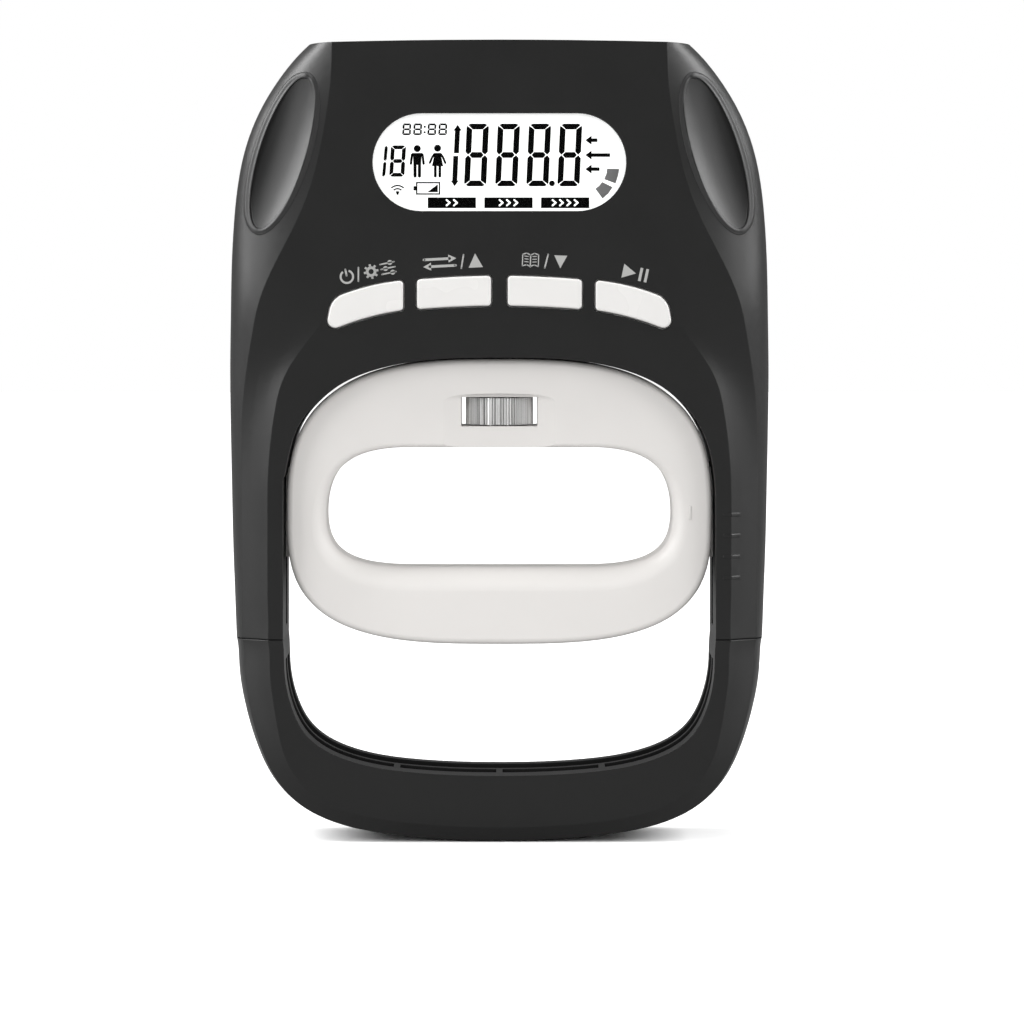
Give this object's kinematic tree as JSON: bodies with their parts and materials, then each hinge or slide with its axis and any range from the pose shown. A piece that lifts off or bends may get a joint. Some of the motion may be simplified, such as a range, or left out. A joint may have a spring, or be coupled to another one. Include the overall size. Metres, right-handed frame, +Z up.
{
  "type": "hand dynamometer",
  "caption": "Upright electronic grip dynamometer: black display housing with two arms and a palm bow round a sliding white ring handle set by a knurled wheel and screw.",
  "frame": {"origin": "middle of the depth and width, level with the lowest point of the palm bow", "axes": "+Z up along the length towards the display end, -Y out of the display face, +X to the right of someone facing the display"},
  "size_m": [0.1296, 0.03, 0.191],
  "materials": {
    "housing_plastic": "fine satin texture",
    "handle_plastic": "smooth satin",
    "button_plastic": "semi-gloss",
    "clear_window": "clear acrylic",
    "display_glass": "liquid crystal cell",
    "diffuser": "white diffuser",
    "frame_plastic": "moulded",
    "contact_rubber": "layered",
    "circuit_board": "solder resist",
    "component_plastic": "moulded",
    "wheel_chrome": "knurled and plated",
    "screw_steel": "turned",
    "fastener_steel": "blackened",
    "cell_aluminium": "milled",
    "gauge_film": "film",
    "lead_insulation": "flexible",
    "battery_sleeve": "printed sleeve",
    "contact_nickel": "nickel plated spring steel"
  },
  "bodies": {
    "housing": {"front_cover": "housing_plastic", "rear_cover": "housing_plastic", "grip_bow": "housing_plastic", "housing_screws": "fastener_steel", "bow_screws": "fastener_steel", "board_screws": "fastener_steel", "link_screw": "fastener_steel", "anchor_screws": "fastener_steel", "display_lens": "clear_window", "lcd_glass": "display_glass", "lcd_backlight": "diffuser", "lcd_frame": "frame_plastic", "connector_strips": "contact_rubber", "control_board": "circuit_board", "board_components": "component_plastic", "buzzer": "component_plastic", "switch_bodies": "component_plastic", "draw_sleeve": "screw_steel", "load_cell": "cell_aluminium", "anchor_bracket": "screw_steel", "strain_gauges": "gauge_film", "load_cell_leads": "lead_insulation", "battery_leads": "lead_insulation", "battery_lower": "battery_sleeve", "battery_upper": "battery_sleeve", "battery_contacts": "contact_nickel", "battery_springs": "contact_nickel"},
    "handle": {"handle_front": "handle_plastic", "handle_rear": "handle_plastic", "handle_screws": "fastener_steel", "thrust_washers": "screw_steel"},
    "adjuster": {"adjusting_wheel": "wheel_chrome", "adjusting_screw": "screw_steel"},
    "battery_door": {"battery_door": "housing_plastic"},
    "button_set": {"button_set": "button_plastic", "plunger_set": "component_plastic"},
    "button_up": {"button_up": "button_plastic", "plunger_up": "component_plastic"},
    "button_down": {"button_down": "button_plastic", "plunger_down": "component_plastic"},
    "button_start": {"button_start": "button_plastic", "plunger_start": "component_plastic"}
  },
  "joints": [
    {"name": "handle_slide", "type": "slide", "parent": "housing", "child": "handle", "axis": [0, 0, -1], "range_m": [0, 0.015]},
    {"name": "wheel_spin", "type": "hinge", "parent": "handle", "child": "adjuster", "pos_m": [0, 0, 0.1023], "axis": [0, 0, -1], "range_deg": [0, 4320]},
    {"name": "door_swing", "type": "hinge", "parent": "housing", "child": "battery_door", "pos_m": [0, 0.014, 0.16475], "axis": [-1, 0, 0], "range_deg": [0, 70]},
    {"name": "press_set", "type": "slide", "parent": "housing", "child": "button_set", "axis": [0, 1, 0], "range_m": [0, 0.0005], "stiffness_N_per_m": 3200},
    {"name": "press_up", "type": "slide", "parent": "housing", "child": "button_up", "axis": [0, 1, 0], "range_m": [0, 0.0005], "stiffness_N_per_m": 3200},
    {"name": "press_down", "type": "slide", "parent": "housing", "child": "button_down", "axis": [0, 1, 0], "range_m": [0, 0.0005], "stiffness_N_per_m": 3200},
    {"name": "press_start", "type": "slide", "parent": "housing", "child": "button_start", "axis": [0, 1, 0], "range_m": [0, 0.0005], "stiffness_N_per_m": 3200}
  ],
  "couplings": [
    {"joint": "wheel_spin", "follows": "handle_slide", "rad_per_m": 5026.5}
  ]
}
